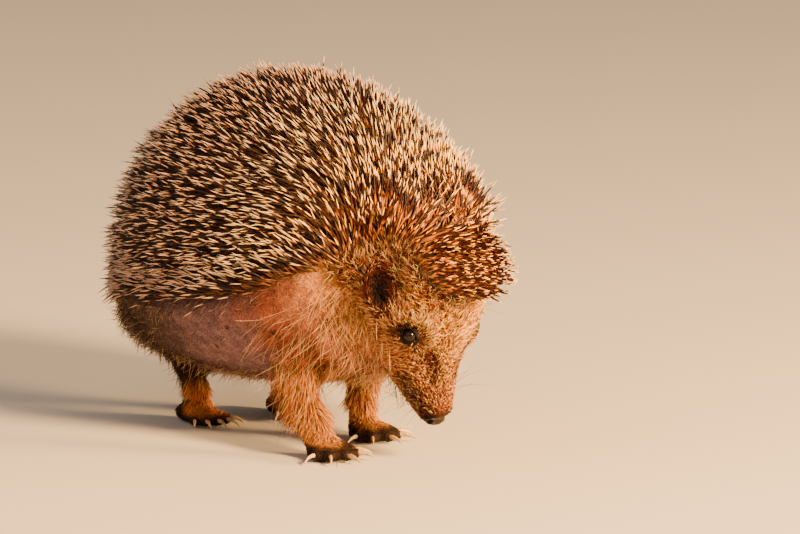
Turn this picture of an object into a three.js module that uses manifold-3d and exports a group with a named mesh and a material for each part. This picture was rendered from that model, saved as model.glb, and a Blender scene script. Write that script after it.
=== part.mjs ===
// A hedgehog as a still, life-size museum model: standing, back arched, muzzle lowered to the ground.
// Units are millimetres. The floor is z = 0, the muzzle looks towards -Y and the animal's right is -X.
// Each solid reaches out to the tips of the coat: quills over the back and crown, fur elsewhere.
import * as THREE from "three";
import { mergeVertices } from "three/addons/utils/BufferGeometryUtils.js";
import Module from "manifold-3d";

const wasm = await Module();
wasm.setup();

// ---- Driving dimensions ----

const GAP = 0.3; // between touching pieces

// The body from rump to brow. Each row is one upright section:
// y, half width, crest height, height of the widest place, belly height, height of the quills' lower edge,
// the width under that edge as a share of the width above it, and how far the brow has turned to the left.
const BODY_SECTIONS = [
  [99, 8, 80, 66, 52, 52, 1, 0],
  [93, 25, 95, 65, 36, 53, 1.02, 0],
  [81, 39, 112, 65, 25.5, 54, 1.03, 0],
  [64, 51.5, 127, 66, 20.5, 54, 1, 0],
  [40, 62, 141, 66, 18.5, 56, 0.97, 0],
  [14, 67, 147, 66, 18, 58, 0.94, 0],
  [-14, 67, 146, 67, 21, 61, 0.93, 0],
  [-40, 61.5, 139, 69, 26, 66, 0.91, 0],
  [-60, 54, 130.5, 73, 34, 72, 0.84, 0],
  [-76, 45.5, 119, 79, 44, 78, 0.66, 0.4],
  [-88, 37.5, 109, 86, 56, 85, 0.52, 2.4],
  [-96, 32, 101, 84, 61, 82, 0.52, 3.4],
  [-104, 27, 92, 77, 64, 74, 0.75, 4.6],
  [-110, 20, 84.5, 73, 66, 69, 1, 5.8],
  [-115, 7, 77, 71, 68.5, 66, 1, 6.6],
];
const BODY_RINGS = 26;
const BODY_SIDES = 32;
const EDGE_FADE = 5; // height over which the quills' edge steps in to the flank

// The head hangs nearly upright and turned a little to the animal's left.
const HEAD = {
  tip: new THREE.Vector3(2.2, -92, 16), // lowest point of the muzzle
  pitch: 75, // degrees below level
  yaw: 10, // degrees towards the left
  // distance from the tip, half width, depth in front of the axis (bridge), depth behind it (jaw)
  sections: [
    [0.8, 3.4, 1.8, 5.2],
    [3.5, 5.6, 4.4, 8.4],
    [9, 7.6, 6.4, 12],
    [15, 9.8, 8.2, 16.2],
    [23, 13.5, 12, 20.4],
    [32, 19.4, 18.4, 21],
    [42, 24.6, 24.4, 20],
    [52, 27.4, 29, 18],
    [62, 28, 30, 17],
    [71, 24, 24, 14],
    [78, 13, 10, 7],
  ],
  rings: 17,
  sides: 20,
};
const THROAT = { points: [[0.5, -74, 55], [0, -36, 56]], radii: [22, 22] };
const THROAT_RINGS = 3;
const THROAT_SIDES = 18;
const NOSE = { along: 3.9, out: -2.4, width: 4.5, height: 3.3, depth: 3.9 };
const NOSTRIL = { along: 2.4, side: 2.9, out: -2.2, radius: 1.1, depth: 1.6 };
const EYE = { along: 36.5, side: 17.3, out: 10.1, radius: 2.9, clearing: 4.6 };
const EAR = {
  along: 57,
  side: 24.5,
  out: 6,
  width: 7,
  height: 10.6,
  depth: 6,
  lip: 1.6, // how far the rim stands over the widest place
  wall: 1.4,
  hollow: 2.4, // how far the hollow's middle lies in front of the ear's
  flare: 34, // degrees that the hollow turns from forwards to outwards
};
const EAR_DETAIL = 6;
const EAR_ROOM = { ahead: 6, wider: 1, higher: 0.6, depth: 12 }; // what the ear leaves free in front of it

// The head, neck and trunk are parted by two planes: y at the floor, and y at the cut's height.
const NAPE_CUT = { low: -73, high: -66 };
const SHOULDER_CUT = { low: -58, high: -49 };
const CUT_HEIGHT = 100;
const ALL = 400; // a block of this size holds the whole model

const TAIL = { points: [[0, 82, 44], [0, 90, 36], [0, 98, 30]], radii: [6, 4.6, 2] };
const TAIL_RINGS = 5;
const TAIL_SIDES = 10;

// Legs run from inside the body to the ankle: points, and the furred radius at each.
const LEGS = {
  foreleg_right: {
    points: [[-30, -38, 52], [-29.5, -38, 33], [-28.6, -40.5, 21], [-27.2, -49, 11.5], [-25.5, -52.5, 5]],
    radii: [15, 11.5, 10, 8, 6.6],
  },
  foreleg_left: {
    points: [[24, -27, 52], [18, -24, 34], [13, -23, 22], [12, -23.5, 12.5], [12, -26, 5]],
    radii: [15, 11.5, 8.6, 7.4, 6.6],
  },
  hindleg_right: {
    points: [[-31, 42, 50], [-25.5, 45, 29], [-22.5, 44, 18.5], [-21.2, 44.5, 10], [-21, 46, 5]],
    radii: [18, 10.5, 6.9, 7.3, 7],
  },
  hindleg_left: {
    points: [[31, 35, 50], [24.5, 38.2, 29], [20, 38.4, 18.5], [17.9, 39.2, 10], [17.5, 40.6, 5]],
    radii: [18, 10.5, 6.9, 7.3, 7],
  },
};
const LEG_RINGS = 8;
const LEG_SIDES = 12;

// A paw is a sole with five toes fanned round a hub. The spread is the angle between one toe and the next.
const FORE = {
  sole: [9.5, 9.5, 6.4],
  hub: 0,
  spread: 35,
  toe: 13,
  toeRadius: 2.9,
  claw: 7,
  clawRadius: 1.2,
};
const HIND = {
  sole: [7.4, 14.4, 5.8],
  hub: -2,
  spread: 15,
  toe: 19.5,
  toeRadius: 2.6,
  claw: 6.4,
  clawRadius: 1.1,
};
// Each paw's middle on the floor, and how far in degrees its toes turn out from the animal's length.
const PAWS = {
  forepaw_right: { ...FORE, at: [-24.5, -53.5], turn: -4, side: -1, leg: "foreleg_right" },
  forepaw_left: { ...FORE, at: [12.5, -29], turn: 4, side: 1, leg: "foreleg_left" },
  hindpaw_right: { ...HIND, at: [-21.3, 44.5], turn: 4, side: -1, leg: "hindleg_right" },
  hindpaw_left: { ...HIND, at: [17.8, 39], turn: -12, side: 1, leg: "hindleg_left" },
};
const TOES = [-2, -1, 0, 1, 2]; // from the inner toe to the outer one
const TOE_SHORTER = 0.035; // share of its reach that each step away from the middle toe takes off
const SOLE_HEIGHT = 3.5; // middle of the sole above the floor
const TOE_HEIGHT = 2.3;
// A toe from the sole to its end: share of its reach, and height.
const TOE_ARCH = [
  [0.45, SOLE_HEIGHT],
  [0.75, TOE_HEIGHT + 1.2],
  [0.96, TOE_HEIGHT],
  [1.05, TOE_HEIGHT - 0.2],
];
const TOE_TAPER = [1, 1.02, 0.98, 0.5];
const TOE_SIDES = 6;
const CLAW_TIP_HEIGHT = 0.8;
const CLAW_ROOT = { sunk: 0.6, height: TOE_HEIGHT + 0.7 };
const CLAW_ARCH = 1.1; // how far its middle stands over its root
const CLAW_TAPER = [1, 0.8, 0.24];
const CLAW_RINGS = 3;
const CLAW_SIDES = 5;

// ---- Materials ----

const material = (color, roughness) => new THREE.MeshStandardMaterial({ color, roughness, metalness: 0 });
const QUILLS = material(0x8a6a4c, 0.6);
const FUR = material(0xb9773f, 0.9);
const PAW_SKIN = material(0x2e211b, 0.7);
const HORN = material(0xd9b98c, 0.45);
const NOSE_SKIN = material(0x1c1412, 0.3);
const EYE_BLACK = material(0x0a0706, 0.08);
const EAR_SKIN = material(0x4a2c20, 0.8);

// ---- Shapes ----

const vec = (point) => new THREE.Vector3(...point);
const degrees = (angle) => (angle * Math.PI) / 180;
const signedPower = (value, power) => Math.sign(value) * Math.abs(value) ** power;

// Smooth in-between rows of a table, evenly spread from its first row to its last.
function rowsBetween(table, count) {
  const columns = table[0].map((_, c) => table.map((row) => row[c]));
  const last = table.length - 1;
  const rowAt = (share) => {
    const place = share * last;
    const i = Math.min(Math.floor(place), last - 1);
    const t = place - i;
    return columns.map((v) => {
      const [a, b, c, d] = [v[Math.max(i - 1, 0)], v[i], v[i + 1], v[Math.min(i + 2, last)]];
      const [bend, twist] = [2 * a - 5 * b + 4 * c - d, 3 * b - a - 3 * c + d];
      return b + 0.5 * ((c - a) * t + bend * t ** 2 + twist * t ** 3);
    });
  };
  return Array.from({ length: count }, (_, i) => rowAt(i / (count - 1)));
}

// A closed skin over rings of points, each end closed on its ring's middle.
function skinOver(rings) {
  const sides = rings[0].length;
  const middle = (ring) => ring.reduce((sum, p) => sum.add(p), new THREE.Vector3()).divideScalar(sides);
  const points = [...rings.flat(), middle(rings[0]), middle(rings.at(-1))];
  const [start, end] = [points.length - 2, points.length - 1];
  const faces = [];
  for (let s = 0; s < sides; s++) {
    const next = (s + 1) % sides;
    faces.push(start, next, s);
    faces.push(end, (rings.length - 1) * sides + s, (rings.length - 1) * sides + next);
    for (let r = 0; r < rings.length - 1; r++) {
      const [a, b, c, d] = [r * sides + s, r * sides + next, (r + 1) * sides + s, (r + 1) * sides + next];
      faces.push(a, b, d, a, d, c);
    }
  }
  return new THREE.BufferGeometry().setFromPoints(points).setIndex(faces);
}

function solidOf(geometry) {
  const bare = geometry.clone();
  bare.deleteAttribute("normal");
  bare.deleteAttribute("uv");
  const merged = mergeVertices(bare, 1e-4);
  const mesh = new wasm.Mesh({
    numProp: 3,
    vertProperties: merged.attributes.position.array,
    triVerts: new Uint32Array(merged.index.array),
  });
  return new wasm.Manifold(mesh);
}

function geometryOf(solid) {
  const { vertProperties, triVerts } = solid.getMesh();
  const geometry = new THREE.BufferGeometry();
  geometry.setAttribute("position", new THREE.BufferAttribute(new Float32Array(vertProperties), 3));
  geometry.setIndex(new THREE.BufferAttribute(new Uint32Array(triVerts), 1));
  geometry.computeVertexNormals();
  return geometry;
}

const joined = (solids) => solids.reduce((whole, solid) => whole.add(solid));
const cutBy = (solid, tools) => tools.reduce((left, tool) => left.subtract(tool), solid);

// A geometry's solid, with its own x, y and z turned to three given directions and its origin moved.
const placed = (geometry, axes, origin) =>
  solidOf(geometry.applyMatrix4(new THREE.Matrix4().makeBasis(...axes).setPosition(origin)));

// An ellipsoid whose own x, y and z radii lie along three given directions.
const ellipsoid = (centre, radii, axes, detail) =>
  placed(new THREE.SphereGeometry(1, detail * 2, detail).scale(...radii), axes, centre);

// A round limb along a smooth curve, with a radius at each of its points.
function limb({ points, radii }, ringCount, sides, grow = 0) {
  const curve = new THREE.CatmullRomCurve3(points.map(vec), false, "catmullrom", 0.5);
  const sideways = new THREE.Vector3(1, 0, 0);
  const rings = rowsBetween(radii.map((radius) => [radius + grow]), ringCount).map(([radius], i) => {
    const share = i / (ringCount - 1);
    const centre = curve.getPoint(share);
    const forward = new THREE.Vector3().crossVectors(sideways, curve.getTangent(share)).normalize();
    const side = new THREE.Vector3().crossVectors(curve.getTangent(share), forward).normalize();
    return Array.from({ length: sides }, (_, s) => {
      const angle = (s / sides) * 2 * Math.PI;
      const across = side.clone().multiplyScalar(radius * Math.cos(angle));
      return across.addScaledVector(forward, -radius * Math.sin(angle)).add(centre);
    });
  });
  return solidOf(skinOver(rings));
}

// All that lies on the rump's side of a leaning upright plane.
function behindPlane({ low, high }, shift = 0) {
  const lean = Math.atan2(high - low, CUT_HEIGHT);
  const box = new THREE.BoxGeometry(ALL, ALL, ALL).translate(0, ALL / 2, 0).rotateX(-lean);
  return solidOf(box.translate(0, low + shift, 0));
}

// ---- Body ----

function bodyRing([y, width, crest, widest, belly, edge, share, turned], grow) {
  return Array.from({ length: BODY_SIDES }, (_, s) => {
    const angle = (s / BODY_SIDES) * 2 * Math.PI;
    const up = Math.sin(angle);
    const z = widest + (up > 0 ? crest - widest : widest - belly) * signedPower(up, up > 0 ? 1 : 0.9);
    const above = THREE.MathUtils.smoothstep(z, edge - EDGE_FADE, edge);
    const x = turned + width * Math.cos(angle) * (share + (1 - share) * above);
    const out = new THREE.Vector3(Math.cos(angle), 0, up).multiplyScalar(grow);
    return new THREE.Vector3(x, y, z).add(out);
  });
}

const bodyRows = rowsBetween(BODY_SECTIONS, BODY_RINGS);
const bodySkin = (grow = 0) => solidOf(skinOver(bodyRows.map((row) => bodyRing(row, grow))));

// ---- Head ----

const yaw = degrees(HEAD.yaw);
const pitch = degrees(HEAD.pitch);
const facing = new THREE.Vector3(Math.sin(yaw), -Math.cos(yaw), 0);
const headRight = new THREE.Vector3(-Math.cos(yaw), -Math.sin(yaw), 0);
const headUp = vec([0, 0, Math.sin(pitch)]).addScaledVector(facing, -Math.cos(pitch)); // muzzle to nape
const headFront = vec([0, 0, Math.cos(pitch)]).addScaledVector(facing, Math.sin(pitch)); // jaw to bridge

// A place in the head: distance from the muzzle's tip, to the animal's right, and out of the bridge.
function inHead(along, right, front) {
  const onAxis = HEAD.tip.clone().addScaledVector(headUp, along);
  return onAxis.addScaledVector(headRight, right).addScaledVector(headFront, front);
}

function headSkin(grow = 0) {
  const rings = rowsBetween(HEAD.sections, HEAD.rings).map(([along, width, bridge, jaw]) =>
    Array.from({ length: HEAD.sides }, (_, s) => {
      const angle = (s / HEAD.sides) * 2 * Math.PI;
      const front = Math.sin(angle) * ((Math.sin(angle) > 0 ? bridge : jaw) + grow);
      return inHead(along, (width + grow) * Math.cos(angle), front);
    }),
  );
  return solidOf(skinOver(rings));
}

const throat = (grow = 0) => limb(THROAT, THROAT_RINGS, THROAT_SIDES, grow);

const headAxes = [headRight, headFront, headUp];
const nosePlace = inHead(NOSE.along, 0, NOSE.out);
const noseSolid = (grow = 0) =>
  ellipsoid(nosePlace, [NOSE.width + grow, NOSE.depth + grow, NOSE.height + grow], headAxes, 7);

function nose() {
  const radii = [NOSTRIL.radius, NOSTRIL.radius, NOSTRIL.depth];
  const nostrils = [-1, 1].map((side) =>
    ellipsoid(inHead(NOSTRIL.along, side * NOSTRIL.side, NOSTRIL.out), radii, headAxes, 4),
  );
  return cutBy(noseSolid(), nostrils);
}

// The middle of an eyeball, or a place further out along its gaze.
const eyePlace = (side, out = 0) => inHead(EYE.along, side * (EYE.side + out), EYE.out + out);
const ballAt = (place, radius, detail) => ellipsoid(place, [radius, radius, radius], headAxes, detail);
const eyeSolid = (side, grow = 0) => ballAt(eyePlace(side), EYE.radius + grow, 6);
// The fur stands back round the eye, so that the ball shows.
const eyeClearing = (side) => ballAt(eyePlace(side, EYE.clearing * 0.8), EYE.clearing, 5);

// An ear is a cup whose hollow opens forwards and outwards.
const flare = degrees(EAR.flare);
const earPlace = (side) => inHead(EAR.along, side * EAR.side, EAR.out);
function earAxes(side) {
  const opening = headFront.clone().multiplyScalar(Math.cos(flare));
  opening.addScaledVector(headRight, side * Math.sin(flare));
  return [new THREE.Vector3().crossVectors(headUp, opening).normalize(), headUp, opening];
}
function ear(side) {
  const axes = earAxes(side);
  const outside = ellipsoid(earPlace(side), [EAR.width, EAR.height, EAR.depth], axes, EAR_DETAIL);
  const hollowPlace = earPlace(side).addScaledVector(axes[2], EAR.hollow);
  const hollowRadii = [EAR.width - EAR.wall, EAR.height - EAR.wall, EAR.depth];
  const hollow = ellipsoid(hollowPlace, hollowRadii, axes, EAR_DETAIL);
  const front = new THREE.BoxGeometry(ALL, ALL, ALL).translate(0, 0, ALL / 2 + EAR.lip);
  return cutBy(outside, [hollow, placed(front, axes, earPlace(side))]);
}

// The pocket that an ear sits in, open towards the front.
function earRoom(side) {
  const axes = earAxes(side);
  const [width, height] = [EAR.width + GAP, EAR.height + GAP];
  const behind = ellipsoid(earPlace(side), [width, height, EAR.depth + GAP], axes, EAR_DETAIL);
  const aheadRadii = [width + EAR_ROOM.wider, height + EAR_ROOM.higher, EAR_ROOM.depth];
  const aheadPlace = earPlace(side).addScaledVector(axes[2], EAR_ROOM.ahead);
  const ahead = ellipsoid(aheadPlace, aheadRadii, axes, EAR_DETAIL - 1);
  const back = new THREE.BoxGeometry(ALL, ALL, ALL).translate(0, 0, -ALL / 2);
  return behind.add(ahead.subtract(placed(back, axes, earPlace(side))));
}

// ---- Paws ----

const UP = vec([0, 0, 1]);
const pawAhead = (paw) => vec([0, -1, 0]).applyAxisAngle(UP, degrees(paw.turn) * paw.side);
const pawOut = (paw) => pawAhead(paw).cross(UP).multiplyScalar(-paw.side);
const pawPlace = (paw, ahead, up) => new THREE.Vector3(...paw.at, up).addScaledVector(pawAhead(paw), ahead);

// A place over a toe, at a distance from the hub of the paw.
function onToe(paw, toe, reach, up) {
  const angle = degrees(paw.spread * toe);
  const ahead = pawPlace(paw, paw.hub + reach * Math.cos(angle), up);
  return ahead.addScaledVector(pawOut(paw), reach * Math.sin(angle));
}
const toeReach = (paw, toe) => paw.toe * (1 - TOE_SHORTER * toe * toe);

const belowFloor = solidOf(new THREE.BoxGeometry(ALL, ALL, ALL).translate(0, 0, -ALL / 2));

function pawSolid(paw) {
  const axes = [pawAhead(paw).cross(UP), pawAhead(paw), UP];
  const sole = ellipsoid(pawPlace(paw, 0, SOLE_HEIGHT), paw.sole, axes, 5);
  const toes = TOES.map((toe) => {
    const reach = toeReach(paw, toe);
    const points = TOE_ARCH.map(([share, up]) => onToe(paw, toe, reach * share, up).toArray());
    const radii = TOE_TAPER.map((share) => paw.toeRadius * share);
    return limb({ points, radii }, TOE_ARCH.length, TOE_SIDES);
  });
  return cutBy(joined([sole, ...toes]), [belowFloor]);
}

// A claw curves out of its toe and down towards the floor.
function claw(paw, toe, grow = 0) {
  const reach = toeReach(paw, toe);
  const points = [
    onToe(paw, toe, reach - CLAW_ROOT.sunk, CLAW_ROOT.height),
    onToe(paw, toe, reach + paw.claw / 2, CLAW_ROOT.height + CLAW_ARCH),
    onToe(paw, toe, reach + paw.claw, CLAW_TIP_HEIGHT),
  ];
  const radii = CLAW_TAPER.map((share) => paw.clawRadius * share);
  return limb({ points: points.map((point) => point.toArray()), radii }, CLAW_RINGS, CLAW_SIDES, grow);
}

// ---- Assembly ----

const hedgehog = new THREE.Group();

// Adds a named mesh whose own origin is the place it grows from.
function add(name, solid, look, pivot) {
  const mesh = new THREE.Mesh(geometryOf(solid).translate(-pivot.x, -pivot.y, -pivot.z), look);
  mesh.name = name;
  mesh.position.copy(pivot);
  hedgehog.add(mesh);
}

const SIDES = { right: 1, left: -1 };
const openings = Object.values(SIDES).flatMap((side) => [
  eyeSolid(side, GAP),
  eyeClearing(side),
  earRoom(side),
]);
const wholeBody = cutBy(joined([bodySkin(), headSkin(), throat()]), [noseSolid(GAP), ...openings]);
const bodyRoom = joined([bodySkin(GAP), headSkin(GAP), throat(GAP)]);

add("trunk", wholeBody.intersect(behindPlane(SHOULDER_CUT)), QUILLS, vec([0, 0, 65]));
const neck = cutBy(wholeBody.intersect(behindPlane(NAPE_CUT)), [behindPlane(SHOULDER_CUT, -GAP)]);
add("neck", neck, QUILLS, vec([0, -60, 70]));
add("head", cutBy(wholeBody, [behindPlane(NAPE_CUT, -GAP)]), FUR, inHead(60, 0, 0));
add("nose", nose(), NOSE_SKIN, nosePlace);
for (const [name, side] of Object.entries(SIDES)) {
  add("eye_" + name, eyeSolid(side), EYE_BLACK, eyePlace(side));
  add("ear_" + name, ear(side), EAR_SKIN, earPlace(side));
}
add("tail", cutBy(limb(TAIL, TAIL_RINGS, TAIL_SIDES), [bodyRoom]), FUR, vec(TAIL.points[0]));

for (const [name, paw] of Object.entries(PAWS)) {
  const leg = LEGS[paw.leg];
  const legRoom = limb(leg, LEG_RINGS, LEG_SIDES, GAP);
  const clawRooms = TOES.map((toe) => claw(paw, toe, GAP));
  add(paw.leg, cutBy(limb(leg, LEG_RINGS, LEG_SIDES), [bodyRoom, belowFloor]), FUR, vec(leg.points[1]));
  add(name, cutBy(pawSolid(paw), [legRoom, ...clawRooms]), PAW_SKIN, pawPlace(paw, 0, 0));
  TOES.forEach((toe, i) => {
    add(`${name}_claw_${i + 1}`, claw(paw, toe), HORN, onToe(paw, toe, toeReach(paw, toe), TOE_HEIGHT));
  });
}

// The origin is the middle of the model's box, on the floor.
const box = new THREE.Box3().setFromObject(hedgehog);
const middle = box.getCenter(new THREE.Vector3());
hedgehog.children.forEach((mesh) => mesh.position.sub(new THREE.Vector3(middle.x, middle.y, box.min.z)));

export default hedgehog;
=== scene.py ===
import math

import bpy
import numpy as np
import openvdb
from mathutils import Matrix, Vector


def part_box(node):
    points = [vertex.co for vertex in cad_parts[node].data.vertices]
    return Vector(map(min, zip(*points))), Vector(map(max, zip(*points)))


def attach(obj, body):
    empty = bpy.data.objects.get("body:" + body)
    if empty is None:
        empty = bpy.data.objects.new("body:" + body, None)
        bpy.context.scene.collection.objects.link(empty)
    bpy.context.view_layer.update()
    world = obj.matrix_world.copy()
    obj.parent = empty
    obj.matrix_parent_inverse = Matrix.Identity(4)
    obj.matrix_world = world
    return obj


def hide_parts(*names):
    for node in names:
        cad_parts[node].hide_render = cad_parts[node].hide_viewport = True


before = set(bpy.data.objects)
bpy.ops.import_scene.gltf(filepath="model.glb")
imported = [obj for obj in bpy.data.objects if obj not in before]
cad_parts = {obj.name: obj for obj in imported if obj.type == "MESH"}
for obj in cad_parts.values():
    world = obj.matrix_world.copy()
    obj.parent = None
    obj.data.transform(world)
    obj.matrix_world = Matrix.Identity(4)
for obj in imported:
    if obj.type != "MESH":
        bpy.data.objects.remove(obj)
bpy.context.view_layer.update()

# ---- The hide ----
# One unbroken hide covers muzzle, ears, body, legs and paws. It lies under the coat: deep below the
# quills, shallow under the short face fur, and hardly at all under the down of ears and paws. All
# places and sizes below are in millimetres, in the frame's own axes.

MM = 0.001
UP = np.array([0.0, 0.0, 1.0])
FLESH = ["trunk", "neck", "head", "tail", "foreleg_right", "foreleg_left", "hindleg_right", "hindleg_left"]
PAWS = ["forepaw_right", "forepaw_left", "hindpaw_right", "hindpaw_left"]
EARS = ["ear_right", "ear_left"]

# The head hangs this far below level and turns this far to the animal's left.
HEAD_PITCH = math.radians(75)
HEAD_YAW = math.radians(10)
MUZZLE_TIP = np.array([2.2, -84.07, 16.0])
forward = np.array([math.sin(HEAD_YAW), -math.cos(HEAD_YAW), 0.0])
head_right = np.array([-math.cos(HEAD_YAW), -math.sin(HEAD_YAW), 0.0])
head_up = UP * math.sin(HEAD_PITCH) - forward * math.cos(HEAD_PITCH)  # from muzzle to nape
head_front = UP * math.cos(HEAD_PITCH) + forward * math.sin(HEAD_PITCH)  # from jaw to bridge


def middle(name):
    """A solid's middle in millimetres."""
    low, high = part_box(name)
    return (np.array(low) + np.array(high)) / 2 / MM


eyes = [middle("eye_right"), middle("eye_left")]
ears = [middle(name) for name in EARS]


def solid(name):
    """A solid's corner points in millimetres, and its triangles."""
    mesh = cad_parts[name].data
    mesh.calc_loop_triangles()
    points = np.empty(len(mesh.vertices) * 3, np.float32)
    mesh.vertices.foreach_get("co", points)
    triangles = np.empty(len(mesh.loop_triangles) * 3, np.int32)
    mesh.loop_triangles.foreach_get("vertices", triangles)
    return points.reshape(-1, 3) / MM, triangles.reshape(-1, 3)


def together(shapes):
    """Several shapes' points and triangles as one."""
    starts = np.cumsum([0] + [len(points) for points, _ in shapes[:-1]])
    triangles = [triangles + start for (_, triangles), start in zip(shapes, starts)]
    return np.concatenate([points for points, _ in shapes]), np.concatenate(triangles)


def unit(vectors):
    return vectors / np.maximum(np.linalg.norm(vectors, axis=-1, keepdims=True), 1e-9)


def rise(values, start, end):
    """0 before start, 1 after end, and a smooth way between them."""
    share = np.clip((values - start) / (end - start), 0, 1)
    return share * share * (3 - 2 * share)


def in_head(places):
    """How far places lie along the head from the muzzle's tip, to its right, and out of its bridge."""
    away = places - MUZZLE_TIP
    return away @ head_up, away @ head_right, away @ head_front


def at_head(along, right, front):
    return MUZZLE_TIP + head_up * along + head_right * right + head_front * front


# Where the quills' lowest roots run, from brow to rump: y, and height.
QUILL_EDGE = np.array([
    (-107, 66), (-100, 68), (-96, 70.5), (-93, 76), (-89, 82), (-79, 86), (-66, 81), (-52, 75), (-35, 68), (-17, 64),
    (-2, 61), (19, 59), (56, 58.5), (89, 56), (107, 54),
])
FRINGE_DIP = 3.0  # how far the edge dips in the middle of the brow
BROW_MIDDLE = 1  # x


def over_edge(places):
    """Height over the quills' lowest roots."""
    dip = FRINGE_DIP * rise(places[..., 1], -90, -98) * rise(np.abs(places[..., 0] - BROW_MIDDLE), 21, 11)
    return places[..., 2] - np.interp(places[..., 1], QUILL_EDGE[:, 0], QUILL_EDGE[:, 1]) + dip


def face_share(places):
    """1 over the face, falling to 0 on the neck and chest."""
    return rise(in_head(places)[2], -26, -12) * rise(places[..., 1], -46, -62)


def thick_fur(places):
    """1 where the face's own dense fur grows, falling to 0 where the neck's skin shows through its hair."""
    along, _, front = in_head(places)
    return face_share(places) * rise(front + 6 * rise(along, 30, 20), -11, -3)


# The coat's depth.
QUILL_DEPTH = 11.5
BROW_QUILL_DEPTH = 6.0  # along the brow's lower edge
FLANK_FUR_DEPTH = 1.6
BELLY_FUR_DEPTH = 3.5
LEG_FUR_DEPTH = 2.4
PAW_DOWN_DEPTH = 0.35
CHEEK_FUR_DEPTH = 3.4
MUZZLE_FUR_DEPTH = 0.8
EYELID_DOWN = 0.5
OUTLINE_REACH = QUILL_DEPTH + 4  # how far in from the outline its distance is worked out


def coat_depth(places):
    """How deep the hide lies under the coat's outline."""
    height = places[..., 2]
    body = FLANK_FUR_DEPTH + (BELLY_FUR_DEPTH - FLANK_FUR_DEPTH) * rise(height, 36, 26)
    body += (LEG_FUR_DEPTH - body) * rise(height, 24, 16)
    body += (PAW_DOWN_DEPTH - body) * rise(height, 10, 5.5)
    face = MUZZLE_FUR_DEPTH + (CHEEK_FUR_DEPTH - MUZZLE_FUR_DEPTH) * rise(in_head(places)[0], 6, 46)
    for eye in eyes:
        from_eye = np.linalg.norm(places - eye.astype(np.float32), axis=-1)
        face = EYELID_DOWN + (face - EYELID_DOWN) * rise(from_eye, 4, 11)
    furred = body + (face - body) * face_share(places)
    brow = rise(places[..., 1], -82, -93) * rise(over_edge(places), 24, 9)
    under_quills = QUILL_DEPTH + (BROW_QUILL_DEPTH - QUILL_DEPTH) * brow
    return furred + (under_quills - furred) * rise(over_edge(places), -5, 9 - 5 * brow)


# Folds of the hide: places along each, its width, and how deep it cuts in, or swells where that is negative.
FOLDS = [
    ([(-36, -49, 45), (-28, -43, 36), (-19, -38, 30)], 2.6, 3.4),  # between throat and foreleg
    ([(-37, -45, 45), (-42, -40, 47), (-50, -30, 49), (-54, -20, 48)], 5.0, 1.3),  # over the elbow
    ([(-58, -18, 58), (-57, -4, 51), (-58, 10, 47), (-59, 24, 47)], 4.0, 0.7),  # along the flank
    ([(-50, -4, 36), (-54, 8, 39), (-56, 22, 41)], 3.5, 0.7),
    ([(-33, -64, 66), (-31, -61, 57), (-28, -58, 48)], 3.5, 1.6),  # behind the cheek
    ([at_head(7, 5.4, -6), at_head(12, 7.4, -8.5), at_head(17.5, 9.4, -11)], 0.9, 0.9),  # mouth, right
    ([at_head(7, -5.4, -6), at_head(12, -7.4, -8.5), at_head(17.5, -9.4, -11)], 0.9, 0.9),  # mouth, left
    ([eyes[0] + head_up * 7 - head_front * 2, eyes[0] + head_up * 6 + head_front * 4.5], 3.0, -1.2),  # brow
    ([eyes[1] + head_up * 7 - head_front * 2, eyes[1] + head_up * 6 + head_front * 4.5], 3.0, -1.2),
]

SEAM_CLOSING = 0.8  # more than the gap between two solids
CLEAR_MARGIN = 6  # empty cubes round a shape


def from_line(places, line):
    """Distance from a line through two or more places."""
    near = []
    for start, end in zip(line, line[1:]):
        step = end - start
        share = np.clip((places - start) @ step / (step @ step), 0, 1)
        near.append(np.linalg.norm(places - start - share[..., None] * step, axis=-1))
    return np.min(near, 0)


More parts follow.
